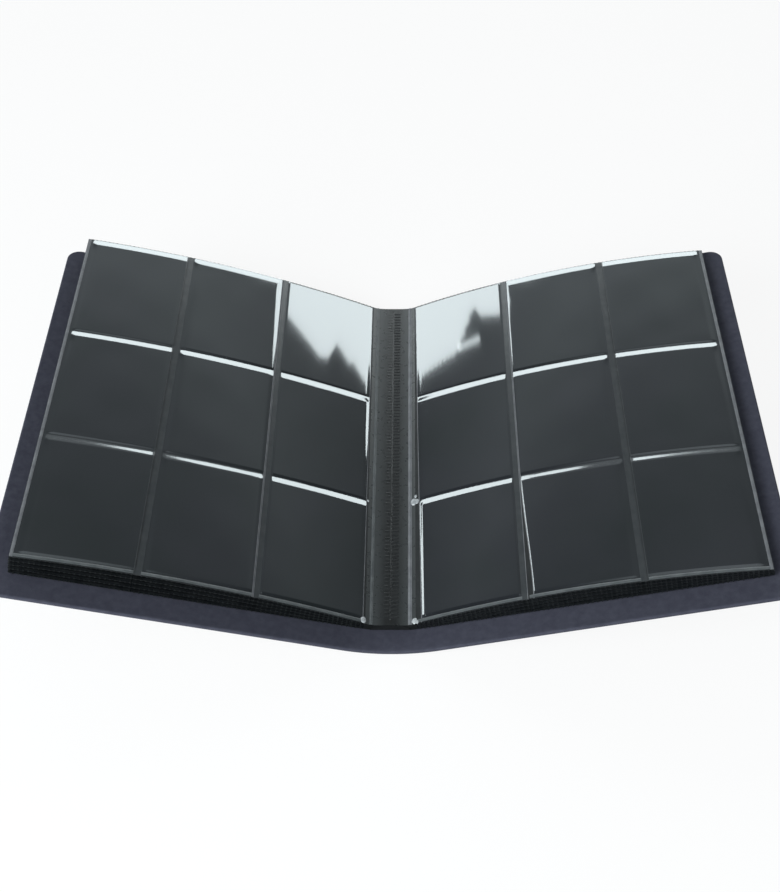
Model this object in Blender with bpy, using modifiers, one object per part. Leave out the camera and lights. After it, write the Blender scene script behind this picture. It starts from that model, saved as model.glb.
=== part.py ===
"""Trading card album, opened at its middle and standing on its spine in a shallow V.

Ten pocket leaves, five to a side, are saddle-welded to a flat spine. Each leaf is a black core
sheet between two clear pocket films, whose pockets load from the side that faces the spine. Two
stiff covers hinge on the spine. Metres, +Z up, +Y away from the reader, spine bottom at z = 0.
"""
from math import cos, pi, radians, sin

import bmesh
import bpy

# Cards, and the pockets that hold them
CARD_WIDTH = 0.0635
CARD_HEIGHT = 0.0889
POCKET_EASE_WIDTH = 0.0035
POCKET_EASE_HEIGHT = 0.0031
COLUMN_WELD = 0.0040
ROW_WELD = 0.0035
COLUMNS = 3
ROWS = 3
MOUTH_SLIT = 0.0012

# Leaves
LEAVES_PER_SIDE = 5
LEAVES_ON_COVER = 3
CORE_THICKNESS = 0.00025
FILM_THICKNESS = 0.00012
FILM_GAP = 0.0002
LEAF_EDGE = 0.0015
LOWEST_MOUTH_MARGIN = 0.0036
ROOT_TILT_TOP = radians(24.4)
OUTER_TILT_TOP = {"left": radians(11.3), "right": radians(5.8)}
BENDS_PER_COLUMN = 2

# Binding in the gutter
GUTTER_HALF = 0.011
STRIP_THICKNESS = 0.0007
PAD_THICKNESS = 0.0005
PAD_INSET = 0.0020
WELD_BEAD_WIDTH = 0.0025
WELD_BEAD_HEIGHT = 0.0005

# Covers and spine
COVER_TILT = radians(15.0)
COVER_SIDE_OVERHANG = 0.0137
COVER_FRONT_MARGIN = 0.0155
COVER_BACK_MARGIN = 0.0055
COVER_CORNER_RADIUS = 0.0100
CORNER_SEGMENTS = 6
SKIN_THICKNESS = 0.0007
SKIN_RIM = 0.0025
BOARD_THICKNESS = 0.0012
LINER_THICKNESS = 0.0005
LINER_INSET = 0.0008

# Clearances
SEAT_GAP = 0.0003
HINGE_GAP = 0.0004
LEAF_TO_COVER = 0.0016

# Finishes: colour, roughness
LEATHERETTE = ((0.036, 0.037, 0.056), 0.55)
LINER_FINISH = ((0.040, 0.041, 0.060), 0.60)
GREY_BOARD = ((0.35, 0.33, 0.30), 0.90)
BLACK_SHEET = ((0.012, 0.013, 0.014), 0.55)
CLEAR_FILM = ((0.70, 0.73, 0.75), 0.12)
CLEAR_FILM_ALPHA = 0.25
WELD_FINISH = ((0.55, 0.57, 0.58), 0.30)

# Sizes that follow from those above
COLUMN_PITCH = CARD_WIDTH + POCKET_EASE_WIDTH + COLUMN_WELD
ROW_PITCH = CARD_HEIGHT + POCKET_EASE_HEIGHT + ROW_WELD
POCKET_SPAN = COLUMNS * COLUMN_PITCH + LEAF_EDGE
LEAF_HEIGHT = ROWS * ROW_PITCH + ROW_WELD
LEAF_THICKNESS = CORE_THICKNESS + 2 * (FILM_GAP + FILM_THICKNESS)
FILM_OFFSET = CORE_THICKNESS / 2 + FILM_GAP + FILM_THICKNESS / 2
LEAF_STEP = STRIP_THICKNESS + SEAT_GAP

COVER_THICKNESS = SKIN_THICKNESS + BOARD_THICKNESS + LINER_THICKNESS + 2 * SEAT_GAP
COVER_HALF_DEPTH = (LEAF_HEIGHT + COVER_FRONT_MARGIN + COVER_BACK_MARGIN) / 2
LEAF_CENTRE_Y = (COVER_FRONT_MARGIN - COVER_BACK_MARGIN) / 2
LOWEST_ROOT_X = GUTTER_HALF + (LEAVES_ON_COVER - 1) * LEAF_STEP
HINGE_X = LOWEST_ROOT_X + LEAF_THICKNESS / 2 + LEAF_TO_COVER
SPINE_HALF = HINGE_X - HINGE_GAP / 2
LOWEST_LEAF_END = LOWEST_ROOT_X + LOWEST_MOUTH_MARGIN + POCKET_SPAN
COVER_LENGTH = LOWEST_LEAF_END - HINGE_X + COVER_SIDE_OVERHANG
STACK_BOTTOM = COVER_THICKNESS + 2 * SEAT_GAP + PAD_THICKNESS

SIDE_TURN = {"left": pi, "right": 0.0}
SIDE_SIGN = {"left": -1.0, "right": 1.0}


def clear_scene():
    for obj in list(bpy.data.objects):
        bpy.data.objects.remove(obj, do_unlink=True)


def new_collection(name):
    collection = bpy.data.collections.new(name)
    bpy.context.scene.collection.children.link(collection)
    return collection


def finish(obj, look, alpha=1.0):
    """Gives an object its own Principled material."""
    colour, roughness = look
    material = bpy.data.materials.new(obj.name)
    material.use_nodes = True
    shader = material.node_tree.nodes["Principled BSDF"]
    shader.inputs["Base Color"].default_value = (*colour, 1.0)
    shader.inputs["Roughness"].default_value = roughness
    shader.inputs["Metallic"].default_value = 0.0
    shader.inputs["Alpha"].default_value = alpha
    obj.data.materials.append(material)


def object_from(bm, name, collection):
    mesh = bpy.data.meshes.new(name)
    bm.to_mesh(mesh)
    bm.free()
    obj = bpy.data.objects.new(name, mesh)
    collection.objects.link(obj)
    return obj


def box_mesh(low, high, corner_radius=0.0):
    """A box between two corners; the two upright edges at its +X end may be rounded."""
    bm = bmesh.new()
    bmesh.ops.create_cube(bm, size=1.0)
    for vert in bm.verts:
        for axis in range(3):
            vert.co[axis] = low[axis] if vert.co[axis] < 0 else high[axis]
    if corner_radius > 0:
        middle_x = (low[0] + high[0]) / 2
        upright = [edge for edge in bm.edges
                   if all(vert.co.x > middle_x for vert in edge.verts)
                   and abs(edge.verts[0].co.y - edge.verts[1].co.y) < SEAT_GAP]
        bmesh.ops.bevel(bm, geom=upright, offset=corner_radius, offset_type="OFFSET",
                        segments=CORNER_SEGMENTS, profile=0.5, affect="EDGES")
    return bm


def joint_empty(name, collection, location, tilt=0.0, turn=0.0):
    """An empty on a joint's axis, with its local +X pointing outward from the spine."""
    empty = bpy.data.objects.new(name, None)
    empty.empty_display_size = GUTTER_HALF
    empty.location = location
    empty.rotation_euler = (0.0, -tilt, turn)
    collection.objects.link(empty)
    return empty


def panel(name, hinge, length, start, parts, cutters, corner_radius):
    """Skin tray, board and liner of a cover or of the spine, stacked below the hinge line."""
    half = COVER_HALF_DEPTH
    bottom = -COVER_THICKNESS
    board_bottom = bottom + SKIN_THICKNESS + SEAT_GAP
    board_top = board_bottom + BOARD_THICKNESS
    liner_bottom = board_top + SEAT_GAP
    end = start + length

    skin_low = (start, -half, bottom)
    skin_high = (end, half, board_top)
    skin = object_from(box_mesh(skin_low, skin_high, corner_radius), name + "_skin", parts)
    finish(skin, LEATHERETTE)

    inner_radius = max(corner_radius - SKIN_RIM, 0.0)
    well_low = (start + SKIN_RIM, -half + SKIN_RIM, bottom + SKIN_THICKNESS)
    well_high = (end - SKIN_RIM, half - SKIN_RIM, liner_bottom)
    well = object_from(box_mesh(well_low, well_high, inner_radius), name + "_well_cutter", cutters)
    well.hide_render = True
    well.display_type = "WIRE"
    cut = skin.modifiers.new("board_well", "BOOLEAN")
    cut.operation = "DIFFERENCE"
    cut.object = well

    board_edge = SKIN_RIM + SEAT_GAP
    board_low = (start + board_edge, -half + board_edge, board_bottom)
    board_high = (end - board_edge, half - board_edge, board_top)
    board_radius = max(corner_radius - board_edge, 0.0)
    board = object_from(box_mesh(board_low, board_high, board_radius), name + "_board", parts)
    finish(board, GREY_BOARD)

    liner_radius = max(corner_radius - LINER_INSET, 0.0)
    liner_low = (start + LINER_INSET, -half + LINER_INSET, liner_bottom)
    liner_high = (end - LINER_INSET, half - LINER_INSET, 0.0)
    liner = object_from(box_mesh(liner_low, liner_high, liner_radius), name + "_liner", parts)
    finish(liner, LINER_FINISH)

    for piece in (skin, well, board, liner):
        piece.parent = hinge


def leaf_tilts(side, level):
    """Tilt at the root and at the outer edge; the lowest leaf lies straight along its cover."""
    share = (level - 1) / max(LEAVES_PER_SIDE - 1, 1)
    root = COVER_TILT + share * (ROOT_TILT_TOP - COVER_TILT)
    outer = COVER_TILT + share * (OUTER_TILT_TOP[side] - COVER_TILT)
    return root, outer


def root_x(level):
    """Half-gutter at a leaf's root: the leaves that lie on a cover start further out, step by step."""
    return GUTTER_HALF + max(LEAVES_ON_COVER - level, 0) * LEAF_STEP


def strip_half(level):
    """Half-width of a double sheet's middle, short of the roots that swing past it."""
    passing_roots = max(level - LEAVES_ON_COVER + 1, 0)
    return root_x(level) - SEAT_GAP - passing_roots * LEAF_STEP


def mouth_margin(level):
    """Bare core between a leaf's root and its first pocket, which lines the pockets up."""
    return LOWEST_MOUTH_MARGIN + LOWEST_ROOT_X - root_x(level)


def arch_point(s, offset, tilts, length):
    """Point of a leaf's arched section: s along it from its root, offset out of its middle."""
    root, outer = tilts
    bend = (outer - root) / length
    tilt = root + bend * s
    if abs(outer - root) < radians(0.01):
        x, z = s * cos(root), s * sin(root)
    else:
        x = (sin(tilt) - sin(root)) / bend
        z = (cos(root) - cos(tilt)) / bend
    return x - offset * sin(tilt), z + offset * cos(tilt)


def column_stations(level):
    """Places along a leaf where its sheets bend, and those that start a mouth slit."""
    stations = [mouth_margin(level)]
    slits = []
    for column in range(COLUMNS):
        start = mouth_margin(level) + column * COLUMN_PITCH
        if column > 0:
            slits.append(len(stations) - 1)
            stations.append(start + MOUTH_SLIT)
        for bend in range(1, BENDS_PER_COLUMN):
            stations.append(start + COLUMN_PITCH * bend / BENDS_PER_COLUMN)
        stations.append(start + COLUMN_PITCH)
    stations[-1] += LEAF_EDGE
    return stations, slits


def row_stations():
    """Places up a leaf where its row welds begin and end; the odd spans are pockets."""
    stations = []
    for row in range(ROWS + 1):
        weld = row * ROW_PITCH - LEAF_HEIGHT / 2
        stations += [weld, weld + ROW_WELD]
    return stations


def sheet(name, collection, across, along, offset, tilts, thickness, slit_columns):
    """A thin arched sheet: a grid laid on the arch, cut at its slits and given its thickness."""
    bm = bmesh.new()
    columns = len(across) - 1
    rows = len(along) - 1
    bmesh.ops.create_grid(bm, x_segments=columns, y_segments=rows, size=1.0)
    slit_faces = []
    for face in bm.faces:
        centre = face.calc_center_median()
        column = int((centre.x + 1) / 2 * columns)
        row = int((centre.y + 1) / 2 * rows)
        if column in slit_columns and row % 2 == 1:
            slit_faces.append(face)
    for vert in bm.verts:
        s = across[round((vert.co.x + 1) / 2 * columns)]
        y = along[round((vert.co.y + 1) / 2 * rows)]
        x, z = arch_point(s, offset, tilts, across[-1])
        vert.co = (x, y, z)
    bmesh.ops.delete(bm, geom=slit_faces, context="FACES")
    bmesh.ops.dissolve_limit(bm, angle_limit=radians(0.01), verts=bm.verts, edges=bm.edges)
    obj = object_from(bm, name, collection)
    solid = obj.modifiers.new("thickness", "SOLIDIFY")
    solid.thickness = thickness
    solid.offset = 0.0
    solid.use_even_offset = True
    return obj


def leaf_root(side, level):
    """Middle of a leaf's hinge line at the binding."""
    z = STACK_BOTTOM + (level - 1) * LEAF_STEP + STRIP_THICKNESS / 2
    return SIDE_SIGN[side] * root_x(level), LEAF_CENTRE_Y, z


def leaf(side, level, collection):
    """One pocket leaf: core sheet, and a pocket film on its upper and on its under side."""
    name = f"leaf_{side}_{level}"
    hinge = joint_empty(name + "_hinge", collection, leaf_root(side, level), turn=SIDE_TURN[side])
    tilts = leaf_tilts(side, level)
    across, slits = column_stations(level)
    along = row_stations()
    edges = [along[0], along[-1]]
    core = sheet(name + "_core", collection, [0.0] + across, edges, 0.0, tilts, CORE_THICKNESS, [])
    finish(core, BLACK_SHEET)
    core.parent = hinge
    for label, offset in (("upper", FILM_OFFSET), ("under", -FILM_OFFSET)):
        film = sheet(f"{name}_{label}_film", collection, across, along, offset, tilts,
                     FILM_THICKNESS, slits)
        finish(film, CLEAR_FILM, CLEAR_FILM_ALPHA)
        film.parent = hinge


def block(name, collection, half_x, bottom, height, inset_y=0.0):
    """A flat strip of the binding, centred on the gutter and as tall as the leaves."""
    half_y = LEAF_HEIGHT / 2 - inset_y
    low = (-half_x, LEAF_CENTRE_Y - half_y, bottom)
    high = (half_x, LEAF_CENTRE_Y + half_y, bottom + height)
    return object_from(box_mesh(low, high), name, collection)


def binding(collection):
    """Pad on the spine, the middles of the double sheets, and the bead that welds them."""
    pad = block("binding_pad", collection, GUTTER_HALF, COVER_THICKNESS + SEAT_GAP,
                PAD_THICKNESS, PAD_INSET)
    finish(pad, BLACK_SHEET)
    for level in range(1, LEAVES_PER_SIDE + 1):
        bottom = STACK_BOTTOM + (level - 1) * LEAF_STEP
        strip = block(f"gutter_strip_{level}", collection, strip_half(level), bottom, STRIP_THICKNESS)
        finish(strip, BLACK_SHEET)
    stack_top = STACK_BOTTOM + LEAVES_PER_SIDE * LEAF_STEP
    bead = block("centre_weld_bead", collection, WELD_BEAD_WIDTH / 2, stack_top,
                 WELD_BEAD_HEIGHT, PAD_INSET)
    finish(bead, WELD_FINISH)


def album():
    clear_scene()
    parts = new_collection("trading_card_album")
    cutters = new_collection("cutters")
    seat = joint_empty("spine_seat", parts, (0.0, 0.0, COVER_THICKNESS))
    panel("spine", seat, 2 * SPINE_HALF, -SPINE_HALF, parts, cutters, 0.0)
    for side, name in (("left", "front_cover"), ("right", "back_cover")):
        place = (SIDE_SIGN[side] * HINGE_X, 0.0, COVER_THICKNESS)
        hinge = joint_empty(name + "_hinge", parts, place, COVER_TILT, SIDE_TURN[side])
        panel(name, hinge, COVER_LENGTH, HINGE_GAP / 2, parts, cutters, COVER_CORNER_RADIUS)
    binding(parts)
    for side in ("left", "right"):
        for level in range(1, LEAVES_PER_SIDE + 1):
            leaf(side, level, parts)


album()
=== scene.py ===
"""Looks of the trading card album: covers, pocket leaves, welds, light and camera around the CAD frame."""

from math import cos, pi, radians, sin, tan

import bmesh
import bpy
import numpy as np
from mathutils import Matrix, Vector


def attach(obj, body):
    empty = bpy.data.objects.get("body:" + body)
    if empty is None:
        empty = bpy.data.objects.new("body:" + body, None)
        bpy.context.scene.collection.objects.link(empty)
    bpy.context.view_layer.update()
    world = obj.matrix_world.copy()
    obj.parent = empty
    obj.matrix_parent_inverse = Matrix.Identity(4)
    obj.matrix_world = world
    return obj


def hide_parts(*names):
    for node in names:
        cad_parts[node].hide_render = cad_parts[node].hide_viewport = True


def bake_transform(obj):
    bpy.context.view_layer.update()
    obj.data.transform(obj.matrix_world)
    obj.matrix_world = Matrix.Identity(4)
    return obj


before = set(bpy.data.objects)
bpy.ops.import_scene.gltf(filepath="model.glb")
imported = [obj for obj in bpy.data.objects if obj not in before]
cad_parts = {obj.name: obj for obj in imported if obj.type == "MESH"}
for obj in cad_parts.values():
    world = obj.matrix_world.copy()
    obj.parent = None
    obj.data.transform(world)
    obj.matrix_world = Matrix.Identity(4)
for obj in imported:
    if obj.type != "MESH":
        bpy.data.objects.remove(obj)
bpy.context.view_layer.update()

# Sizes carried over from the CAD source, in metres and radians
COLUMNS = 3
ROWS = 3
COLUMN_PITCH = 0.071
ROW_PITCH = 0.0955
COLUMN_WELD = 0.0040
ROW_WELD = 0.0035
LEAF_EDGE = 0.0015
LEAF_HEIGHT = ROWS * ROW_PITCH + ROW_WELD
LEAF_CENTRE_Y = 0.0050
LEAF_STEP = 0.0010
LEVELS = (1, 2, 3, 4, 5)
TOP_LEVEL = LEVELS[-1]
LEAVES_ON_COVER = 3
SIDES = ("left", "right")
SIGN = {"left": -1.0, "right": 1.0}
COVER = {"left": "front_cover", "right": "back_cover"}
CORE_HALF = 0.000125
COVER_TILT = radians(15.0)
ROOT_TILT_TOP = radians(24.4)
OUTER_TILT_TOP = {"left": radians(11.3), "right": radians(5.8)}
GUTTER_HALF = 0.011
LOWEST_MOUTH_MARGIN = 0.0036
STACK_BOTTOM = 0.0041
STRIP_THICKNESS = 0.0007
STRIP_HALF = {1: 0.0127, 2: 0.0117, 3: 0.0097, 4: 0.0087}
COVER_THICKNESS = 0.0030
COVER_REACH = 0.229955
COVER_HALF_DEPTH = 0.1555
HINGE_X = 0.015045
CORNER_RADIUS = 0.0100

# Distance from the middle at which the gutter sheet's painted highlight starts and ends: the sheet is
# painted lighter towards the gutter's sides
HIGHLIGHT_FROM, HIGHLIGHT_TO = 0.003, 0.009

RANDOM = np.random.default_rng(20)


# Materials

def material(name):
    made = bpy.data.materials.new(name)
    made.use_nodes = True
    tree = made.node_tree
    return made, tree, tree.nodes["Principled BSDF"]


def node(tree, kind, **values):
    made = tree.nodes.new(kind)
    for key, value in values.items():
        if key in made.inputs:
            made.inputs[key].default_value = value
        else:
            setattr(made, key, value)
    return made


def noise(tree, scale, detail=3.0, roughness=0.55):
    place = node(tree, "ShaderNodeTexCoord")
    made = node(tree, "ShaderNodeTexNoise", Scale=scale, Detail=detail, Roughness=roughness)
    tree.links.new(place.outputs["Object"], made.inputs["Vector"])
    return made.outputs["Fac"]


def ramp(tree, fac, low, high, start=0.35, end=0.65):
    made = node(tree, "ShaderNodeValToRGB")
    first, last = made.color_ramp.elements
    first.position, last.position = start, end
    first.color, last.color = (*low, 1.0), (*high, 1.0)
    tree.links.new(fac, made.inputs["Fac"])
    return made.outputs["Color"]


def spread(tree, fac, low, high, start=0.3, end=0.7):
    made = node(tree, "ShaderNodeMapRange")
    for index, value in enumerate((start, end, low, high), start=1):
        made.inputs[index].default_value = value
    tree.links.new(fac, made.inputs[0])
    return made.outputs[0]


def bump(tree, height, shader, strength, distance):
    made = node(tree, "ShaderNodeBump", Strength=strength, Distance=distance)
    tree.links.new(height, made.inputs["Height"])
    tree.links.new(made.outputs["Normal"], shader.inputs["Normal"])


def leatherette():
    made, tree, shader = material("leatherette")
    tone = ramp(tree, noise(tree, 210.0, 5.0, 0.65), (0.050, 0.0500, 0.068), (0.064, 0.064, 0.085))
    tree.links.new(tone, shader.inputs["Base Color"])
    tree.links.new(spread(tree, noise(tree, 60.0), 0.46, 0.60), shader.inputs["Roughness"])
    shader.inputs["Specular IOR Level"].default_value = 0.03
    place = node(tree, "ShaderNodeTexCoord")
    cells = node(tree, "ShaderNodeTexVoronoi", Scale=1250.0)
    cells.feature = "DISTANCE_TO_EDGE"
    tree.links.new(place.outputs["Object"], cells.inputs["Vector"])
    bump(tree, cells.outputs["Distance"], shader, 0.35, 0.00025)
    return made


def black_sheet(name="black_sheet", roughness=(0.42, 0.55), tone=0.012, specular=0.35):
    made, tree, shader = material(name)
    low = (tone * 0.8, tone * 0.86, tone * 0.92)
    high = (tone * 1.25, tone * 1.35, tone * 1.45)
    tree.links.new(ramp(tree, noise(tree, 90.0), low, high), shader.inputs["Base Color"])
    tree.links.new(spread(tree, noise(tree, 240.0), *roughness), shader.inputs["Roughness"])
    shader.inputs["Specular IOR Level"].default_value = specular
    bump(tree, noise(tree, 1600.0, 2.0), shader, 0.12, 0.0001)
    return made


def gutter_sheet():
    """Black sheet painted lighter towards the sides of the gutter, a painted highlight."""
    made, tree, shader = material("gutter_sheet")
    place = node(tree, "ShaderNodeTexCoord")
    parts = node(tree, "ShaderNodeSeparateXYZ")
    aside = node(tree, "ShaderNodeMath", operation="ABSOLUTE")
    tree.links.new(place.outputs["Object"], parts.inputs[0])
    tree.links.new(parts.outputs["X"], aside.inputs[0])
    # Painted highlight: the tone runs from near black in the middle to pale grey at the gutter's sides
    painted_highlight = spread(tree, aside.outputs[0], 0.0, 1.0, HIGHLIGHT_FROM, HIGHLIGHT_TO)
    tone = ramp(tree, painted_highlight, (0.008, 0.0088, 0.0092), (0.034, 0.037, 0.038), 0.0, 1.0)
    tree.links.new(tone, shader.inputs["Base Color"])
    tree.links.new(spread(tree, noise(tree, 240.0), 0.26, 0.32), shader.inputs["Roughness"])
    shader.inputs["Specular IOR Level"].default_value = 0.62
    bump(tree, noise(tree, 1600.0, 2.0), shader, 0.01, 0.0001)
    return made


def clear_film():
    made, tree, shader = material("clear_film")
    tone = ramp(tree, noise(tree, 14.0, 2.0), (0.010, 0.013, 0.015), (0.016, 0.017, 0.022))
    tree.links.new(tone, shader.inputs["Base Color"])
    tree.links.new(spread(tree, noise(tree, 26.0, 4.0), 0.04, 0.06), shader.inputs["Roughness"])
    shader.inputs["IOR"].default_value = 1.5
    shader.inputs["Specular IOR Level"].default_value = 1.0
    shader.inputs["Specular Tint"].default_value = (0.90, 0.98, 1.0, 1.0)
    shader.inputs["Coat Weight"].default_value = 1.0
    shader.inputs["Coat Roughness"].default_value = 0.04
    shader.inputs["Coat IOR"].default_value = 2.2
    shader.inputs["Alpha"].default_value = 0.85
    bump(tree, noise(tree, 55.0, 2.0), shader, 0.02, 0.0006)
    return made


def pressed_film(name, low, high, roughness, specular):
    made, tree, shader = material(name)
    tone = ramp(tree, noise(tree, 150.0, 4.0), low, high)
    tree.links.new(tone, shader.inputs["Base Color"])
    tree.links.new(spread(tree, noise(tree, 300.0), *roughness), shader.inputs["Roughness"])
    shader.inputs["Specular IOR Level"].default_value = specular
    bump(tree, noise(tree, 700.0, 2.0), shader, 0.012, 0.0001)
    return made


def grey_board():
    made, tree, shader = material("grey_board")
    tone = ramp(tree, noise(tree, 700.0, 4.0), (0.28, 0.26, 0.23), (0.40, 0.38, 0.35))
    tree.links.new(tone, shader.inputs["Base Color"])
    shader.inputs["Roughness"].default_value = 0.9
    bump(tree, noise(tree, 1500.0), shader, 0.3, 0.0002)
    return made


LEATHERETTE = leatherette()
BLACK_SHEET = black_sheet()
GUTTER_SHEET = gutter_sheet()
LADDER_BLACK = black_sheet("ladder_black", (0.45, 0.60), 0.011, 0.3)
CLEAR_FILM = clear_film()
PRESSED_FILM = pressed_film("pressed_film", (0.038, 0.041, 0.044), (0.046, 0.049, 0.052), (0.16, 0.22), 0.6)
WELD_GREY = pressed_film("weld_ribs", (0.068, 0.074, 0.077), (0.100, 0.107, 0.110), (0.28, 0.40), 0.4)
# Painted shade: a near-black copy of the weld ribs for the films below the top one, standing in for the
# stack's shade
WELD_SHADED = pressed_film("weld_ribs_painted_shade", (0.005, 0.006, 0.007), (0.010, 0.011, 0.012), (0.30, 0.45), 0.3)
# Painted highlight: a pale copy of the weld finish for the top film's lip rims, band edge and edge bead,
# and for the right ridge
WELD_HIGHLIGHT = pressed_film("weld_painted_highlight", (0.12, 0.122, 0.132), (0.17, 0.172, 0.182), (0.30, 0.42), 0.3)
WELD_TEETH = pressed_film("weld_teeth", (0.008, 0.009, 0.010), (0.015, 0.017, 0.018), (0.35, 0.50), 0.3)
# Painted highlight: pale colour for the knots at the mouths
KNOT_HIGHLIGHT = pressed_film("melted_film", (0.30, 0.31, 0.32), (0.46, 0.47, 0.48), (0.22, 0.32), 0.5)
GREY_BOARD = grey_board()


# Mesh building

SHARP_ANGLE = radians(40.0)


class Shape:
    """Collects grids and closed shells of points, with a material slot for each face."""

    def __init__(self):
        self.points, self.faces, self.slots, self.count = [], [], [], 0

    def grid(self, points, slot=0, flip=False):
        rows, columns = points.shape[:2]
        index = np.arange(rows * columns).reshape(rows, columns) + self.count
        corners = [index[:-1, :-1], index[1:, :-1], index[1:, 1:], index[:-1, 1:]]
        quads = np.stack(corners, -1).reshape(-1, 4)
        if flip:
            quads = quads[:, ::-1]
        self.points.append(points.reshape(-1, 3))
        self.faces += quads.tolist()
        self.slots += [slot] * len(quads)
        self.count += rows * columns
        return index

    def shell(self, top, bottom, slot=0, flip=False):
        """A closed thin solid between two grids of the same size."""
        a = self.grid(top, slot, flip)
        b = self.grid(bottom, slot, not flip)
        rim_a = np.concatenate([a[:, 0], a[-1, 1:], a[-2::-1, -1], a[0, -2:0:-1]])
        rim_b = np.concatenate([b[:, 0], b[-1, 1:], b[-2::-1, -1], b[0, -2:0:-1]])
        walls = np.stack([rim_a, rim_b, np.roll(rim_b, -1), np.roll(rim_a, -1)], -1)
        if flip:
            walls = walls[:, ::-1]
        self.faces += walls.tolist()
        self.slots += [slot] * len(walls)

    def piece(self, name, materials):
        mesh = bpy.data.meshes.new(name)
        mesh.from_pydata(np.concatenate(self.points).tolist(), [], self.faces)
        for each in materials:
            mesh.materials.append(each)
        mesh.polygons.foreach_set("material_index", np.array(self.slots, np.int32))
        mesh.polygons.foreach_set("use_smooth", np.ones(len(self.faces), bool))
        mesh.set_sharp_from_angle(angle=SHARP_ANGLE)
        made = bpy.data.objects.new(name, mesh)
        bpy.context.scene.collection.objects.link(made)
        return made


def smooth(t):
    t = np.clip(t, 0.0, 1.0)
    return t * t * (3 - 2 * t)


# Leaves

def root_x(level):
    return GUTTER_HALF + max(LEAVES_ON_COVER - level, 0) * LEAF_STEP


def root_z(level):
    return STACK_BOTTOM + (level - 1) * LEAF_STEP + STRIP_THICKNESS / 2


def mouth_margin(level):
    return LOWEST_MOUTH_MARGIN + root_x(1) - root_x(level)


def leaf_length(level):
    return mouth_margin(level) + COLUMNS * COLUMN_PITCH + LEAF_EDGE


def arch(side, level, s, y, height):
    """Points of a leaf: s along it from its root, y up it from its middle, height out of its core."""
    share = (level - 1) / (TOP_LEVEL - 1)
    root = COVER_TILT + share * (ROOT_TILT_TOP - COVER_TILT)
    outer = COVER_TILT + share * (OUTER_TILT_TOP[side] - COVER_TILT)
    bend = (outer - root) / leaf_length(level)
    s, y, height = np.broadcast_arrays(s, y, height)
    tilt = root + bend * s
    if abs(bend) < 1e-9:
        x, z = s * cos(root), s * sin(root)
    else:
        x, z = (np.sin(tilt) - sin(root)) / bend, (cos(root) - np.cos(tilt)) / bend
    x = root_x(level) + x - height * np.sin(tilt)
    z = root_z(level) + z + height * np.cos(tilt)
    return np.stack([SIGN[side] * x, LEAF_CENTRE_Y + y, z], -1)


def both_ways(values, end):
    """Stations from 0 to end, close together at both ends."""
    low = [v for v in values if v < end / 2]
    return np.array(low + [end / 2] + [end - v for v in low[::-1]])


# Welds that hold the films, and how fast the films rise from them
FILM_SEAT = 0.00006
WELD_LEVEL = CORE_HALF + FILM_SEAT
WELD_LINE = 0.0010
WELD_LINE_HALF = 0.0002
OUTER_WELD = 0.0018
BACK_RAMP = 0.0055
FRONT_RAMP = 0.0012
BAND_RAMP = (0.0012, 0.0045, 0.0045)
END_RAMP = 0.0018
END_RAMP_MARGIN, END_RAMP_REACH = 0.003, 0.006
BAND_EDGE = 0.0004

# Stations of the mesh along a pocket from its lip, over its band's ramp, and up it from either end
FINE_LIP = np.array([0.0, 0.0005, 0.0007, 0.0009, 0.0011, 0.0013, 0.0017, 0.0021, 0.0025, 0.003, 0.0045,
                     0.008, 0.013, 0.019, 0.025, 0.031, 0.037, 0.043, 0.049, 0.055, 0.059, 0.0615, 0.0625,
                     0.0635, 0.0645, 0.0655])
PLAIN_LIP = np.array([0.0, 0.0008, 0.0016, 0.003, 0.008, 0.02, 0.034, 0.048, 0.058, 0.062])
BAND_STEPS = np.array([1.0, 0.8, 0.6, 0.4, 0.3, 0.2, 0.1, 0.0])
LIP_CLEARANCE = 1.2
FINE_ENDS = [0.0, 0.0006, 0.0012, 0.0018, 0.0024, 0.003, 0.0036, 0.0042, 0.0048, 0.0054, 0.006, 0.0075,
             0.011, 0.016, 0.022, 0.028, 0.034, 0.040]
PLAIN_ENDS = [0.0, 0.001, 0.002, 0.0035, 0.006, 0.011, 0.024]

# Puff of the hidden films, and the slow waves in every film
PLAIN_PUFF = (0.00026, 0.00034)
PLAIN_DROP = 0.00012
WAVE_HEIGHT = (0.00002, 0.00004)
WAVE_LENGTHS = ((0.047, 0.081), (-0.095, 0.053))
WAVE_MARGIN, WAVE_LIP_MARGIN = 0.02, 0.012

# Puff of the top films' pockets and drop of their lips, by row from the front and column from the spine
TOP_PUFF = {"left": ((0.00058, 0.00046, 0.000505),
                     (0.00052, 0.00057, 0.00056),
                     (0.00040, 0.00050, 0.00056)),
            "right": ((0.00058, 0.000455, 0.00054),
                      (0.00051, 0.00057, 0.00056),
                      (0.00040, 0.00050, 0.00056))}
PUFF_SPREAD = (0.98, 1.02)
LIP_DROP = {"left": ((0.00015, 0.00022, 0.00006),
                     (0.00036, 0.00025, 0.00006),
                     (0.00010, 0.00028, 0.00006)),
            "right": ((0.00050, 0.00041, 0.00006),
                      (0.00010, 0.00013, 0.00006),
                      (0.00006, 0.00014, 0.00006))}
LIP_FRONT_SHARE = {("left", 1, 0): 0.55}
LIP_LENGTH = {"left": (0.0033, 0.0033, 0.0033), "right": (0.0033, 0.0015, 0.0033)}
LIP_GAP = 0.0003
MOUTH_LEAN = {"left": 0.0008, "right": 0.0030}
MOUTH_PEEL = {"left": 0.0, "right": 0.0030}

# Ribbed weld along the front edge and plain bead along the outer edge
RIB_PITCH = 0.00295
RIB_DEPTH = 0.35
RIB_STEP, PLAIN_STEP = 0.00074, 0.004
BEAD_RISE = 0.00020
BEAD_SINK = 0.00001
FRONT_BEAD_HALF = 0.32 * ROW_WELD
FRONT_BEAD_SEAT = 0.00002
FRONT_BEAD_INSET, FRONT_BEAD_LAP = 0.0006, 0.0004
FADE_LENGTH, FADE_START = 0.0008, 0.35
EDGE_BEAD_HALF = 0.0010
EDGE_BEAD_SEAT = 0.00003
EDGE_BEAD_INSET, EDGE_BEAD_END = 0.0012, 0.0004
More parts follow.
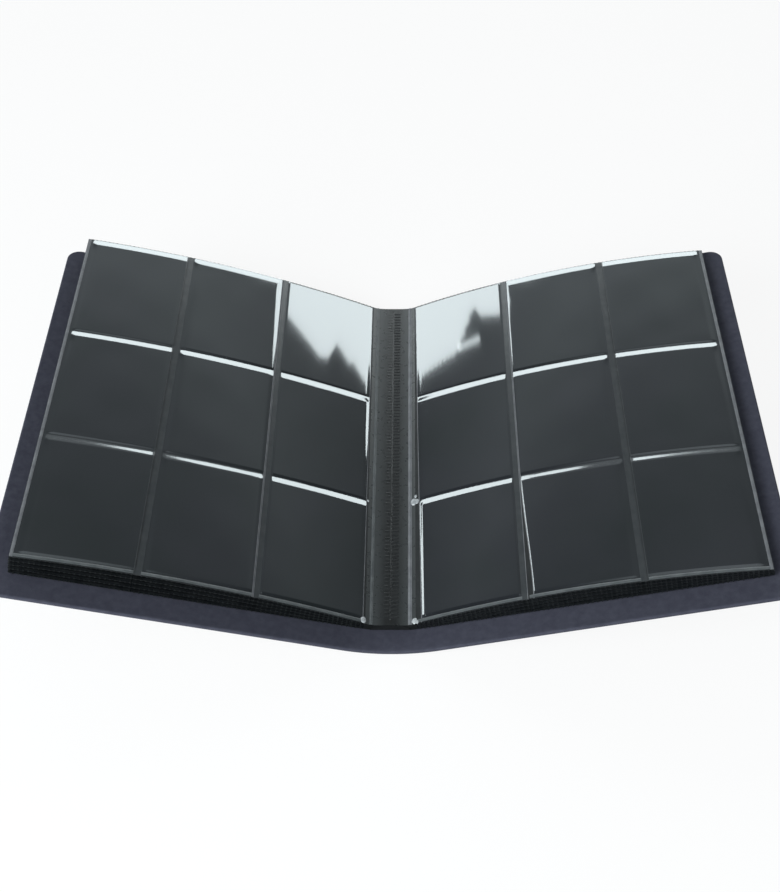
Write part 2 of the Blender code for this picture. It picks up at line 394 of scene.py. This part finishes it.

# Knots of melted film at the mouths, coloured pale as painted highlight: row weld, place along the leaf and
# up it from the weld's end, radius
KNOTS = {"left": ((0, 0.0006, 0.0008, 0.0019), (1, -0.0004, 0.0010, 0.0008)),
         "right": ((0, -0.0014, 0.0006, 0.0018), (0, 0.0004, -0.0006, 0.0010),
                   (1, -0.0017, 0.0006, 0.0023), (1, 0.0004, 0.0004, 0.0017), (1, -0.0004, 0.0050, 0.0010))}
KNOT_STRETCH = 1.3
KNOT_RISE = 0.4

FILM_FINISHES = [CLEAR_FILM, PRESSED_FILM, WELD_GREY, WELD_SHADED, WELD_HIGHLIGHT, KNOT_HIGHLIGHT]
CLEAR, PRESSED, RIBS, SHADED_RIBS, PAINTED_GLINT, KNOT_GLINT = range(len(FILM_FINISHES))
SHADED_FRONT_FACES = 4


def row_weld_y(row):
    return row * ROW_PITCH - LEAF_HEIGHT / 2 + ROW_WELD / 2


def pocket_span(row):
    """Where a pocket's film starts and ends up the leaf, between its pressed weld lines."""
    start, end = row_weld_y(0) + ROW_WELD / 2, LEAF_HEIGHT / 2 - WELD_LINE_HALF
    if row > 0:
        start = row_weld_y(row) + WELD_LINE + WELD_LINE_HALF
    if row < ROWS - 1:
        end = row_weld_y(row + 1) + WELD_LINE - WELD_LINE_HALF
    return start, end


def slope(distance, length, rounding=0.2):
    """A rise from 0 to 1 over a length: straight, with rounded ends."""
    t = np.clip(distance / length, 0.0, 1.0)
    curve = 2 * rounding * (1 - rounding)
    middle = (t - rounding / 2) / (1 - rounding)
    upper = np.where(t > 1 - rounding, 1 - (1 - t) ** 2 / curve, middle)
    return np.where(t < rounding, t * t / curve, upper)


def pocket_height(u, v, width, height, band_ramp, back_ramp, puff, drop, lip_length, wave):
    """How far a pocket's film stands off its welds: pillowed, pressed at its edges, curled at its lip."""
    across = slope(v, FRONT_RAMP) * slope(height - v, back_ramp)
    end_ramp = min(band_ramp, END_RAMP)
    widening = smooth((height - v - END_RAMP_MARGIN) / END_RAMP_REACH)
    along = slope(width - u, end_ramp + (band_ramp - end_ramp) * widening)
    curl = puff - drop * (1 - smooth(u / lip_length))
    ripple = 0.0
    for (length, rise), phase in zip(WAVE_LENGTHS, wave[1:]):
        ripple = ripple + wave[0] * np.sin(2 * pi * (u / length + v / rise + phase))
    inside = smooth(v / WAVE_MARGIN) * smooth((height - v) / WAVE_MARGIN) * smooth(u / WAVE_LIP_MARGIN)
    return curl * across * along + ripple * inside * along


def top_pocket(side, row, column, share):
    """Puff and lip drop of one of the top film's pockets; share runs up the pocket from its front."""
    puff = TOP_PUFF[side][row][column] * RANDOM.uniform(*PUFF_SPREAD)
    front = LIP_FRONT_SHARE.get((side, row, column), 1.0)
    return puff, LIP_DROP[side][row][column] * (front + (1 - front) * smooth(share))


def mouth_lean(side, column, y):
    """How far the mouths of the top film stand back from their line, up the leaf."""
    if column == 0:
        return MOUTH_LEAN[side] * (0.5 - y / LEAF_HEIGHT)
    if column == 1:
        return MOUTH_PEEL[side] * smooth((row_weld_y(1) - y) / ROW_PITCH)
    return np.zeros_like(y)


def bead(shape, place, flip, s, y, rise, slot):
    """A closed bead that stands on a film's welds."""
    shape.shell(place(s, y, WELD_LEVEL + rise), place(s, y, CORE_HALF + BEAD_SINK), slot, flip)


def front_weld(shape, place, flip, first, last, fine, slot):
    """The ribbed weld that closes a column of pockets along the leaf's front edge."""
    s = np.linspace(first, last, max(int((last - first) / (RIB_STEP if fine else PLAIN_STEP)), 8))
    ribs = 1.0 + (RIB_DEPTH if fine else 0.0) * np.sin(2 * pi * s / RIB_PITCH)
    fade = smooth((s - first) / FADE_LENGTH + FADE_START) * smooth((last - s) / FADE_LENGTH + FADE_START)
    profile = np.linspace(-1.0, 1.0, 7)
    rise = BEAD_RISE * (1 - profile ** 2)[None, :] * (ribs * fade)[:, None]
    y = row_weld_y(0) + FRONT_BEAD_HALF * profile
    bead(shape, place, flip, s[:, None], y[None, :], FRONT_BEAD_SEAT + rise, slot)


def edge_bead(shape, place, flip, level, fine, slot):
    """The bead along the leaf's outer edge."""
    reach = LEAF_HEIGHT / 2 - EDGE_BEAD_END
    y = np.linspace(-reach, reach, 100 if fine else 30)
    profile = np.linspace(-1.0, 1.0, 5)
    s = leaf_length(level) - EDGE_BEAD_INSET + EDGE_BEAD_HALF * profile
    rise = BEAD_RISE * (1 - profile ** 2)
    bead(shape, place, flip, s[:, None], y[None, :], EDGE_BEAD_SEAT + rise[:, None], slot)


def melted_knots(shape, place, flip, side, level):
    """Knots of melted film where the row welds end at the gutter, coloured pale as painted highlight."""
    turn = np.linspace(0, 2 * pi, 15)[:, None]
    radius = np.array([1.0, 0.85, 0.6, 0.3, 0.0])[None, :]
    for row, ahead, up, size in KNOTS[side]:
        s = mouth_margin(level) + ahead + size * radius * np.cos(turn)
        y = row_weld_y(row) + up + KNOT_STRETCH * size * radius * np.sin(turn)
        height = WELD_LEVEL + KNOT_RISE * size * np.sqrt(1 - radius ** 2)
        shape.grid(place(s, y, height), KNOT_GLINT, not flip)


def film(side, level, face):
    """The pocket film on one face of a leaf, with its pressed column bands, lips and welds."""
    shape = Shape()
    sign = 1.0 if face == "upper" else -1.0
    flip = (SIGN[side] < 0) == (sign > 0)
    top_film = level == TOP_LEVEL and face == "upper"
    fine = level == TOP_LEVEL or (level == TOP_LEVEL - 1 and face == "upper")
    lip_steps, end_steps = (FINE_LIP, FINE_ENDS) if fine else (PLAIN_LIP, PLAIN_ENDS)

    def place(s, y, height):
        return arch(side, level, s, y, sign * height)

    for column in range(COLUMNS):
        outermost = column == COLUMNS - 1
        start = mouth_margin(level) + column * COLUMN_PITCH
        lip_at = start + (LIP_GAP if column else 0.0)
        weld_at = start + COLUMN_PITCH - (OUTER_WELD if outermost else COLUMN_WELD)
        end = start + COLUMN_PITCH + (LEAF_EDGE if outermost else 0.0)
        width = weld_at - lip_at
        band_ramp = BAND_RAMP[column]
        lip = lip_steps[lip_steps < width - LIP_CLEARANCE * band_ramp]
        inner = np.append(lip, width - band_ramp * BAND_STEPS)
        band = np.linspace(width, end - lip_at, 4)[1:]
        u = np.concatenate([inner, band[:-1], [band[-1] - BAND_EDGE, band[-1]]])
        ys, heights = [], []
        for row in range(ROWS):
            low, high = pocket_span(row)
            v = both_ways(end_steps, high - low)
            if top_film:
                puff, drop = top_pocket(side, row, column, v / (high - low))
            else:
                puff, drop = RANDOM.uniform(*PLAIN_PUFF), PLAIN_DROP
            wave = (RANDOM.uniform(*WAVE_HEIGHT), RANDOM.uniform(), RANDOM.uniform())
            back_ramp = BACK_RAMP
            if top_film and row == ROWS - 1 and column == 0:
                wave, back_ramp = (0.0, 0.0, 0.0), FRONT_RAMP
            ys.append(low + v)
            heights.append(pocket_height(u[:, None], v[None, :], width, high - low, band_ramp, back_ramp,
                                         puff, drop, LIP_LENGTH[side][column], wave))
        edge = np.zeros((len(u), 1))
        y = np.concatenate([[-LEAF_HEIGHT / 2], *ys, [LEAF_HEIGHT / 2]])
        height = WELD_LEVEL + np.concatenate([edge, *heights, edge], axis=1)
        lean = mouth_lean(side, column, y) if top_film else np.zeros_like(y)
        along = lip_at + u[:, None] + lean[None, :] * np.clip(1 - u / width, 0.0, 1.0)[:, None]
        first_face = len(shape.slots)
        shape.grid(place(along, y[None, :], height), CLEAR, flip)

        # Finishes along the column: a pale lip, clear film, the pressed band and its pale edge; the pale
        # lip and edge are painted highlight
        across = np.full(len(u) - 1, CLEAR)
        if not outermost:
            across[len(inner) - 1:] = PRESSED
        if top_film and column == 0:
            across[-1] = PAINTED_GLINT
        if top_film and not outermost:
            across[0] = PAINTED_GLINT
        elif top_film:
            across[:2] = PRESSED
        finish = np.repeat(across[:, None], len(y) - 1, axis=1)
        # Painted shade: on the films below the top one, the front faces of the pressed bands take the dark
        # copy of the weld ribs
        if not top_film:
            finish[across == PRESSED, :SHADED_FRONT_FACES] = SHADED_RIBS
        shape.slots[first_face:] = finish.ravel().tolist()

        last = end - LEAF_EDGE if outermost else weld_at + FRONT_BEAD_LAP
        # The top film's front welds are weld grey; the other films' front welds take the painted shade
        ribs = RIBS if top_film else SHADED_RIBS
        front_weld(shape, place, flip, lip_at + FRONT_BEAD_INSET, last, fine, ribs)

    # Edge bead: painted highlight on the top film, painted shade on the films below it
    edge_bead(shape, place, flip, level, fine, PAINTED_GLINT if top_film else SHADED_RIBS)
    if top_film:
        melted_knots(shape, place, flip, side, level)

    name = f"leaf_{side}_{level}_{face}_film"
    made = shape.piece(name.replace("_film", "_pockets"), FILM_FINISHES)
    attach(made, f"leaf_{side}_{level}")
    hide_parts(name)


# Teeth of the end welds, along the front and back edges of the black sheets
TOOTH_HALF = 0.00045
TOOTH_PAST_EDGE, TOOTH_INSIDE = 0.00025, 0.0012
TOOTH_RISE, TOP_TOOTH_RISE = 0.00040, 0.00018
TEETH_START, TEETH_END = 0.002, 0.003


def core(side, level):
    """A leaf's black sheet, with its teeth."""
    shape = Shape()
    s = np.linspace(0.0, leaf_length(level), 40)
    y = np.linspace(-LEAF_HEIGHT / 2, LEAF_HEIGHT / 2, 4)
    top = arch(side, level, s[:, None], y[None, :], CORE_HALF)
    under = arch(side, level, s[:, None], y[None, :], -CORE_HALF)
    flip = SIGN[side] < 0
    shape.shell(top, under, 0, flip)
    front = np.array([-TOOTH_PAST_EDGE, TOOTH_INSIDE]) - LEAF_HEIGHT / 2
    back = LEAF_HEIGHT / 2 + np.array([-TOOTH_INSIDE, TOOTH_PAST_EDGE])
    rise = TOP_TOOTH_RISE if level == TOP_LEVEL else TOOTH_RISE
    for middle in np.arange(mouth_margin(level) + TEETH_START, leaf_length(level) - TEETH_END, RIB_PITCH):
        s = middle + np.array([-TOOTH_HALF, TOOTH_HALF])
        for y in (front, back):
            top = arch(side, level, s[:, None], y[None, :], rise)
            under = arch(side, level, s[:, None], y[None, :], -TOOTH_RISE)
            shape.shell(top, under, 1, flip)
    made = shape.piece(f"leaf_{side}_{level}_sheet", [BLACK_SHEET, WELD_TEETH])
    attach(made, f"leaf_{side}_{level}")
    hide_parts(f"leaf_{side}_{level}_core")


for side in SIDES:
    for level in LEVELS:
        core(side, level)
        film(side, level, "upper")
        film(side, level, "under")


# Gutter: the top double sheet's middle, the flaps beside it and the webs of the sheets below

GUTTER_FLAT = 0.0035
GUTTER_LIFT = 0.00006
TROUGH_THICKNESS = 0.0003
FLAP_START = 0.0106
FLAP_LAP = 0.0002
FLAP_SLOPE = 0.10
FLAP_REACH = 0.0049
FLAP_LIFT = 0.00003
FLAP_THICKNESS = 0.00012
RIDGE_X = 0.0119
RIDGE_REACH = 0.0012
RIDGE_WIDTH = 0.0006
RIDGE_RISE = 0.00030
RIDGE_HALF = {"left": 0.0010, "right": 0.0013}
# The right ridge takes the painted highlight, the left one plain weld grey
RIDGE_FINISH = {"left": WELD_GREY, "right": WELD_HIGHLIGHT}
WEB_INNER_LAP, WEB_OUTER_LAP = 0.0008, 0.0002
WEB_INNER_LIFT, WEB_OUTER_LIFT = 0.00002, 0.00005
WEB_THICKNESS = 0.00022


def hermite(x, x0, z0, m0, x1, z1, m1):
    """A curve from x0, z0 to x1, z1 with the slopes m0 and m1 at its ends."""
    t = (x - x0) / (x1 - x0)
    width = x1 - x0
    return ((2 * t ** 3 - 3 * t ** 2 + 1) * z0 + (t ** 3 - 2 * t ** 2 + t) * width * m0
            + (3 * t ** 2 - 2 * t ** 3) * z1 + (t ** 3 - t ** 2) * width * m1)


def strip_top(level):
    return STACK_BOTTOM + (level - 1) * LEAF_STEP + STRIP_THICKNESS


def long_sheet(name, side, x, z, thickness, materials, slots=None):
    """A sheet that runs the height of the leaves, over a section of x and z."""
    shape = Shape()
    y = LEAF_CENTRE_Y + np.linspace(-LEAF_HEIGHT / 2, LEAF_HEIGHT / 2, 36)
    full = np.ones((len(x), len(y)))
    top = np.stack([SIGN[side] * x[:, None] * full, y[None, :] * full, z[:, None] * full], -1)
    shape.shell(top, top - np.array([0.0, 0.0, thickness]), 0, SIGN[side] < 0)
    if slots is not None:
        faces = np.repeat(slots, len(y) - 1).tolist()
        shape.slots[:len(faces)] = faces
    return shape.piece(name, materials)


def trough(side):
    """Half of the top double sheet's middle, from the centre weld to just short of the leaf's root."""
    x = np.concatenate([np.linspace(0.0, GUTTER_FLAT, 4), np.linspace(GUTTER_FLAT, FLAP_START, 16)[1:]])
    rise = FLAP_SLOPE * np.maximum(x - GUTTER_FLAT, 0.0) ** 2 / (2 * (FLAP_START - GUTTER_FLAT))
    z = strip_top(TOP_LEVEL) + GUTTER_LIFT + rise
    made = long_sheet(f"gutter_trough_{side}", side, x, z, TROUGH_THICKNESS, [GUTTER_SHEET])
    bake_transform(made)
    return made


def flap(side):
    """The top leaf's sheet from its root to its first mouths, with the fine ridge that edges the gutter."""
    meet = arch(side, TOP_LEVEL, FLAP_REACH, 0.0, CORE_HALF + FLAP_LIFT)
    steep = tan(ROOT_TILT_TOP)
    start_z = strip_top(TOP_LEVEL) + GUTTER_LIFT + FLAP_SLOPE * (FLAP_START - GUTTER_FLAT) / 2
    x = np.unique(np.concatenate([np.linspace(FLAP_START - FLAP_LAP, abs(meet[0]), 16),
                                  RIDGE_X + np.linspace(-RIDGE_REACH, RIDGE_REACH, 13)]))
    z = hermite(x, FLAP_START, start_z, FLAP_SLOPE, abs(meet[0]), meet[2], steep)
    z = z + RIDGE_RISE * np.exp(-((x - RIDGE_X) / RIDGE_WIDTH) ** 2)
    on_ridge = (np.abs((x[:-1] + x[1:]) / 2 - RIDGE_X) < RIDGE_HALF[side]).astype(int)
    finishes = [GUTTER_SHEET, RIDGE_FINISH[side]]
    made = long_sheet(f"gutter_flap_{side}", side, x, z, FLAP_THICKNESS, finishes, on_ridge)
    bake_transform(made)


def web(side, level):
    """The stretch of a lower double sheet beside its leaf's root."""
    inner, outer = STRIP_HALF[level] - WEB_INNER_LAP, root_x(level) + WEB_OUTER_LAP
    x = np.linspace(inner, outer, 12)
    high, low = strip_top(level) + WEB_INNER_LIFT, root_z(level) + CORE_HALF + WEB_OUTER_LIFT
    z = high - (high - low) * smooth((x - inner) / (outer - inner))
    made = long_sheet(f"gutter_web_{side}_{level}", side, x, z, WEB_THICKNESS, [BLACK_SHEET])
    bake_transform(made)


for side in SIDES:
    for level in LEVELS[:-1]:
        web(side, level)
    flap(side)
troughs = {side: trough(side) for side in SIDES}
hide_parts("gutter_strip_5")

# The ribbed weld's bars, by material slot, middle, half width and rise, and the fine ridge beside them
LADDER_BARS = ((0, 0.0026, 0.0023, 0.00020), (1, -0.0026, 0.0018, 0.00003))
LADDER_MARGIN = 0.008
LADDER_SINK = 0.00004
BAR_HALF = 0.00070
CENTRE_RIDGE_X = -0.0002
CENTRE_RIDGE_HALF = 0.0004
CENTRE_RIDGE_RISE = 0.00022
CENTRE_RIDGE_MARGIN = 0.003


def ladder():
    """The ribbed weld down the middle of the gutter: rows of small pressed bars beside a fine ridge."""
    shape = Shape()
    base = strip_top(TOP_LEVEL) + GUTTER_LIFT
    count = int((LEAF_HEIGHT - LADDER_MARGIN) / RIB_PITCH)
    first = LEAF_CENTRE_Y - RIB_PITCH * (count - 1) / 2
    profile = np.array([-1.0, -0.85, -0.5, 0.5, 0.85, 1.0])
    rise = np.array([0.0, 0.7, 1.0, 1.0, 0.7, 0.0])
    full = np.ones((len(profile), len(profile)))
    for index in range(count):
        for slot, middle, half, high in LADDER_BARS:
            x = (middle + half * profile)[:, None] * full
            y = (first + RIB_PITCH * index + BAR_HALF * profile)[None, :] * full
            z = base + high * np.minimum(rise[:, None], rise[None, :])
            shape.shell(np.stack([x, y, z], -1), np.stack([x, y, full * (base - LADDER_SINK)], -1), slot)
    ridge = np.linspace(-1.0, 1.0, 5)
    reach = LEAF_HEIGHT / 2 - CENTRE_RIDGE_MARGIN
    full = np.ones((5, 60))
    x = (CENTRE_RIDGE_X + CENTRE_RIDGE_HALF * ridge)[:, None] * full
    y = LEAF_CENTRE_Y + np.linspace(-reach, reach, 60)[None, :] * full
    z = base + CENTRE_RIDGE_RISE * (1 - ridge ** 2)[:, None] * full
    shape.shell(np.stack([x, y, z], -1), np.stack([x, y, full * (base - LADDER_SINK)], -1), 1)
    made = shape.piece("gutter_ladder_weld", [LADDER_BLACK, GUTTER_SHEET])
    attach(made, "spine")
    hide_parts("centre_weld_bead")


ladder()


# Covers

BEND_TANGENT = 0.0145
BEND_START = HINGE_X - BEND_TANGENT
BEND_RADIUS = BEND_TANGENT / tan(COVER_TILT / 2)
BEND_LENGTH = BEND_RADIUS * COVER_TILT
BEND_MARGIN = 0.001
WRAP_LENGTH = BEND_START + BEND_LENGTH + COVER_REACH - BEND_TANGENT
FOLD_HALF = 0.0025
RIM_ROUND = 0.0011
RIM_STATION = 0.0018
COVER_SHARP_ANGLE = radians(50.0)
FIELD_STATIONS = [0.045, 0.08, 0.12, 0.16, 0.20]
DEPTH_STATIONS = [-0.07, 0.0, 0.07]


def wrap_stations():
    """Places along and across the cover where its faces are cut, close together about the hinge."""
    hinge_at = BEND_START + BEND_LENGTH / 2
    stations = list(hinge_at + np.linspace(-FOLD_HALF, FOLD_HALF, 13))
    stations += list(np.linspace(BEND_START - BEND_MARGIN, hinge_at - FOLD_HALF, 11)[:-1])
    stations += list(np.linspace(hinge_at + FOLD_HALF, BEND_START + BEND_LENGTH + BEND_MARGIN, 11)[1:])
    stations += FIELD_STATIONS + [WRAP_LENGTH - CORNER_RADIUS, WRAP_LENGTH - RIM_STATION]
    depths = [-COVER_HALF_DEPTH + RIM_STATION, COVER_HALF_DEPTH - RIM_STATION] + DEPTH_STATIONS
    return stations, depths


def cover_wrap(side):
    """Half the cover in one leatherette piece, from the spine's middle over the hinge to its fore edge."""
    bm = bmesh.new()
    bmesh.ops.create_cube(bm, size=1.0)
    for vert in bm.verts:
        vert.co.x = 0.0 if vert.co.x < 0 else WRAP_LENGTH
        vert.co.y = COVER_HALF_DEPTH if vert.co.y > 0 else -COVER_HALF_DEPTH
        vert.co.z = 0.0 if vert.co.z > 0 else -COVER_THICKNESS
    upright = [e for e in bm.edges if all(v.co.x > WRAP_LENGTH / 2 for v in e.verts)
               and abs(e.verts[0].co.y - e.verts[1].co.y) < 1e-6]
    bmesh.ops.bevel(bm, geom=upright, offset=CORNER_RADIUS, segments=14, profile=0.5, affect="EDGES")
    rim = [e for e in bm.edges if abs(e.verts[0].co.z - e.verts[1].co.z) < 1e-6
           and not all(v.co.x < 1e-6 for v in e.verts)]
    bmesh.ops.bevel(bm, geom=rim, offset=RIM_ROUND, segments=4, profile=0.5, affect="EDGES")
    stations, depths = wrap_stations()
    planes = [((s, 0, 0), (1, 0, 0)) for s in stations] + [((0, y, 0), (0, 1, 0)) for y in depths]
    for place, normal in planes:
        everything = bm.verts[:] + bm.edges[:] + bm.faces[:]
        bmesh.ops.bisect_plane(bm, geom=everything, plane_co=place, plane_no=normal)
    for vert in bm.verts:
        u, depth = vert.co.x, vert.co.z
        turn = min(max((u - BEND_START) / BEND_LENGTH, 0.0), 1.0) * COVER_TILT
        x = min(u, BEND_START) + BEND_RADIUS * sin(turn)
        z = COVER_THICKNESS + BEND_RADIUS * (1 - cos(turn))
        rest = max(u - BEND_START - BEND_LENGTH, 0.0)
        x += rest * cos(COVER_TILT) - depth * sin(turn)
        z += rest * sin(COVER_TILT) + depth * cos(turn)
        vert.co.x, vert.co.z = SIGN[side] * x, z
    bmesh.ops.recalc_face_normals(bm, faces=bm.faces[:])
    mesh = bpy.data.meshes.new(f"{COVER[side]}_wrap")
    bm.to_mesh(mesh)
    bm.free()
    mesh.materials.append(LEATHERETTE)
    mesh.polygons.foreach_set("use_smooth", np.ones(len(mesh.polygons), bool))
    mesh.set_sharp_from_angle(angle=COVER_SHARP_ANGLE)
    made = bpy.data.objects.new(mesh.name, mesh)
    bpy.context.scene.collection.objects.link(made)
    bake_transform(made)
    return made


wraps = {side: cover_wrap(side) for side in SIDES}
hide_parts("front_cover_skin", "front_cover_liner", "spine_skin", "spine_liner")
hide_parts("back_cover_skin", "back_cover_liner")

# CAD nodes that stay in the scene
for name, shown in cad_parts.items():
    if name.endswith("_board"):
        finish = GREY_BOARD
    elif name.startswith("gutter_strip") or name == "binding_pad":
        finish = BLACK_SHEET
    else:
        continue
    shown.data.materials.clear()
    shown.data.materials.append(finish)


# Floor, light and camera

FLOOR_HALF = 6.0
FLOOR_DROP = 0.0003
FLOOR_GLOW = 0.88


def floor():
    """A white floor that keeps the album's shadow and looks white to the camera and in reflections."""
    made, tree, shader = material("floor_white")
    shader.inputs["Base Color"].default_value = (0.90, 0.90, 0.90, 1.0)
    shader.inputs["Roughness"].default_value = 0.9
    shader.inputs["Specular IOR Level"].default_value = 0.0
    glow = node(tree, "ShaderNodeEmission", Strength=1.0)
    path = node(tree, "ShaderNodeLightPath")
    seen = path.outputs["Is Camera Ray"]
    for ray in ("Is Glossy Ray", "Is Transmission Ray"):
        either = node(tree, "ShaderNodeMath", operation="MAXIMUM")
        tree.links.new(seen, either.inputs[0])
        tree.links.new(path.outputs[ray], either.inputs[1])
        seen = either.outputs[0]
    share = node(tree, "ShaderNodeMath", operation="MULTIPLY")
    share.inputs[1].default_value = FLOOR_GLOW
    tree.links.new(seen, share.inputs[0])
    mix = node(tree, "ShaderNodeMixShader")
    tree.links.new(share.outputs[0], mix.inputs[0])
    tree.links.new(shader.outputs[0], mix.inputs[1])
    tree.links.new(glow.outputs[0], mix.inputs[2])
    tree.links.new(mix.outputs[0], tree.nodes["Material Output"].inputs["Surface"])
    mesh = bpy.data.meshes.new("floor")
    bm = bmesh.new()
    bmesh.ops.create_grid(bm, x_segments=2, y_segments=2, size=FLOOR_HALF)
    bm.to_mesh(mesh)
    bm.free()
    mesh.materials.append(made)
    made_floor = bpy.data.objects.new("floor", mesh)
    made_floor.location = (0.0, 0.0, -FLOOR_DROP)
    bpy.context.scene.collection.objects.link(made_floor)


floor()

# Strength of the room's light by how high its direction points, times a share by how far aside it points
SKY_COLOUR = (0.87, 0.96, 1.0, 1.0)
UP_TONES = ((0.0, 0.39), (0.50, 0.39), (0.63, 0.42), (0.70, 0.231),
            (0.77, 0.156), (0.92, 0.156), (0.97, 0.46))
SIDE_SHARES = ((0.0, 1.0), (0.10, 0.90), (0.22, 0.81), (0.58, 0.32))
HORIZON_START, HORIZON_END = 0.08, 0.20


def grey_stops(tree, fac, stops):
    """A ramp of greys through the given places and values."""
    made = node(tree, "ShaderNodeValToRGB")
    elements = made.color_ramp.elements
    for index, (place, value) in enumerate(stops):
        stop = elements[index] if index < 2 else elements.new(place)
        stop.position, stop.color = place, (value, value, value, 1.0)
    tree.links.new(fac, made.inputs["Fac"])
    return made.outputs["Color"]


def studio():
    """A room that is dim overhead and aside, with a white horizon."""
    world = bpy.data.worlds.new("studio")
    bpy.context.scene.world = world
    world.use_nodes = True
    sky = world.node_tree
    background = sky.nodes["Background"]
    background.inputs["Color"].default_value = SKY_COLOUR
    direction = node(sky, "ShaderNodeTexCoord")
    parts = node(sky, "ShaderNodeSeparateXYZ")
    sky.links.new(direction.outputs["Generated"], parts.inputs[0])
    sideways = node(sky, "ShaderNodeMath", operation="ABSOLUTE")
    sky.links.new(parts.outputs["X"], sideways.inputs[0])
    strength = node(sky, "ShaderNodeMath", operation="MULTIPLY")
    sky.links.new(grey_stops(sky, parts.outputs["Z"], UP_TONES), strength.inputs[0])
    sky.links.new(grey_stops(sky, sideways.outputs[0], SIDE_SHARES), strength.inputs[1])
    sky.links.new(strength.outputs[0], background.inputs["Strength"])
    horizon = node(sky, "ShaderNodeBackground", Strength=1.0)
    horizon.inputs["Color"].default_value = (1.0, 1.0, 1.0, 1.0)
    far_white = node(sky, "ShaderNodeMixShader")
    low = spread(sky, parts.outputs["Z"], 1.0, 0.0, HORIZON_START, HORIZON_END)
    sky.links.new(low, far_white.inputs[0])
    sky.links.new(background.outputs[0], far_white.inputs[1])
    sky.links.new(horizon.outputs[0], far_white.inputs[2])
    sky.links.new(far_white.outputs[0], sky.nodes["World Output"].inputs["Surface"])


studio()

LAMP_COLOUR = (0.90, 0.98, 1.0)


def panel_light(name, centre, target, size, radiance, roll=0.0):
    """A soft rectangular lamp whose face looks at target; radiance is against a white of 1."""
    data = bpy.data.lights.new(name, "AREA")
    data.shape = "RECTANGLE"
    data.size, data.size_y = size
    data.energy = radiance * pi * size[0] * size[1]
    data.color = LAMP_COLOUR
    made = bpy.data.objects.new(name, data)
    aim = (Vector(target) - Vector(centre)).normalized()
    turn = aim.to_track_quat("-Z", "Y").to_matrix().to_4x4()
    made.matrix_world = Matrix.Translation(centre) @ turn @ Matrix.Rotation(roll, 4, "Z")
    bpy.context.scene.collection.objects.link(made)


# The bright wall behind the album, in shares of its distance; its upper edge runs out from the middle
WALL_Y = 2.3
WALL_RADIANCE = 3.6
WALL_LEFT, WALL_RIGHT = -1.80, 1.40
WALL_FOOT = 0.40
SLAT_FOOT = 0.58
SLAT_STEP = 0.006
STREAK = (-0.555, -0.480, 0.7205, 0.7315)
STREAK_ROLL = radians(-24.0)
WALL_EDGE = {"left": ((-0.27, 0.735), (-0.30, 0.735), (-0.365, 0.70), (-0.365, 0.745), (-0.41, 0.745),
                      (-0.455, 0.715), (-0.465, 0.69), (-0.56, 0.715), (-0.67, 0.665), (-0.71, 0.655)),
             "right": ((0.30, 0.735), (0.395, 0.685), (0.395, 0.72), (0.43, 0.735), (0.54, 0.74),
                       (0.565, 0.725), (0.565, 0.695), (0.67, 0.68), (0.71, 0.68))}


def wall_panel(name, left, right, low, high, roll=0.0):
    """A rectangle of the wall."""
    centre = (WALL_Y * (left + right) / 2, WALL_Y, WALL_Y * (low + high) / 2)
    size = (WALL_Y * (right - left), WALL_Y * (high - low))
    panel_light(name, centre, (centre[0], 0.0, centre[2]), size, WALL_RADIANCE, roll)


(middle_left, middle_top), (middle_right, _) = WALL_EDGE["left"][0], WALL_EDGE["right"][0]
wall_panel("back_low", WALL_LEFT, WALL_RIGHT, WALL_FOOT, SLAT_FOOT)
wall_panel("back_middle", middle_left, middle_right, SLAT_FOOT, middle_top)
wall_panel("back_streak", *STREAK, STREAK_ROLL)
for side, edge in WALL_EDGE.items():
    for index, ((x0, z0), (x1, z1)) in enumerate(zip(edge[:-1], edge[1:])):
        count = 0 if x0 == x1 else max(1, round(abs(z1 - z0) / SLAT_STEP))
        for slat in range(count):
            ends = sorted((x0 + (x1 - x0) * slat / count, x0 + (x1 - x0) * (slat + 1) / count))
            top = z0 + (z1 - z0) * (slat + 0.5) / count
            wall_panel(f"back_slat_{side}_{index}_{slat}", *ends, SLAT_FOOT, top)

# Two lamps in front, a strong one on the left and a weak one on the right
LAMP_ASIDE, LAMP_AHEAD, LAMP_HEIGHT = 1.00, -1.00, 0.80
LAMP_SIZE = (1.2, 1.0)
LAMPS = (("left_key", -LAMP_ASIDE, 9.0), ("right_fill", LAMP_ASIDE, 1.4))
for name, x, radiance in LAMPS:
    panel_light(name, (x, LAMP_AHEAD, LAMP_HEIGHT), (0.0, 0.0, 0.0), LAMP_SIZE, radiance)

# Camera, as fitted to the pockets' corners in the photograph of 780 by 892 pixels
FOCAL_PIXELS = 1358.59
LONG_SIDE_PIXELS = 892
SENSOR_WIDTH = 36.0
CAMERA_PLACE = Vector((0.00978, -0.62244, 0.69335))
CAMERA_PITCH, CAMERA_YAW, CAMERA_ROLL = 0.82546, -0.018276, -0.011194

camera_data = bpy.data.cameras.new("camera")
camera_data.sensor_fit = "AUTO"
camera_data.sensor_width = SENSOR_WIDTH
camera_data.lens = SENSOR_WIDTH * FOCAL_PIXELS / LONG_SIDE_PIXELS
camera_data.clip_start = 0.02
camera = bpy.data.objects.new("camera", camera_data)
level_reach = cos(CAMERA_PITCH)
forward = Vector((sin(CAMERA_YAW) * level_reach, cos(CAMERA_YAW) * level_reach, -sin(CAMERA_PITCH)))
level_right = Vector((cos(CAMERA_YAW), -sin(CAMERA_YAW), 0.0))
level_up = level_right.cross(forward)
right = cos(CAMERA_ROLL) * level_right + sin(CAMERA_ROLL) * level_up
up = cos(CAMERA_ROLL) * level_up - sin(CAMERA_ROLL) * level_right
turn = Matrix((right, up, -forward)).transposed().to_4x4()
camera.matrix_world = Matrix.Translation(CAMERA_PLACE) @ turn
bpy.context.scene.collection.objects.link(camera)
bpy.context.scene.camera = camera
bpy.context.scene.view_settings.view_transform = "Standard"

bpy.context.view_layer.update()
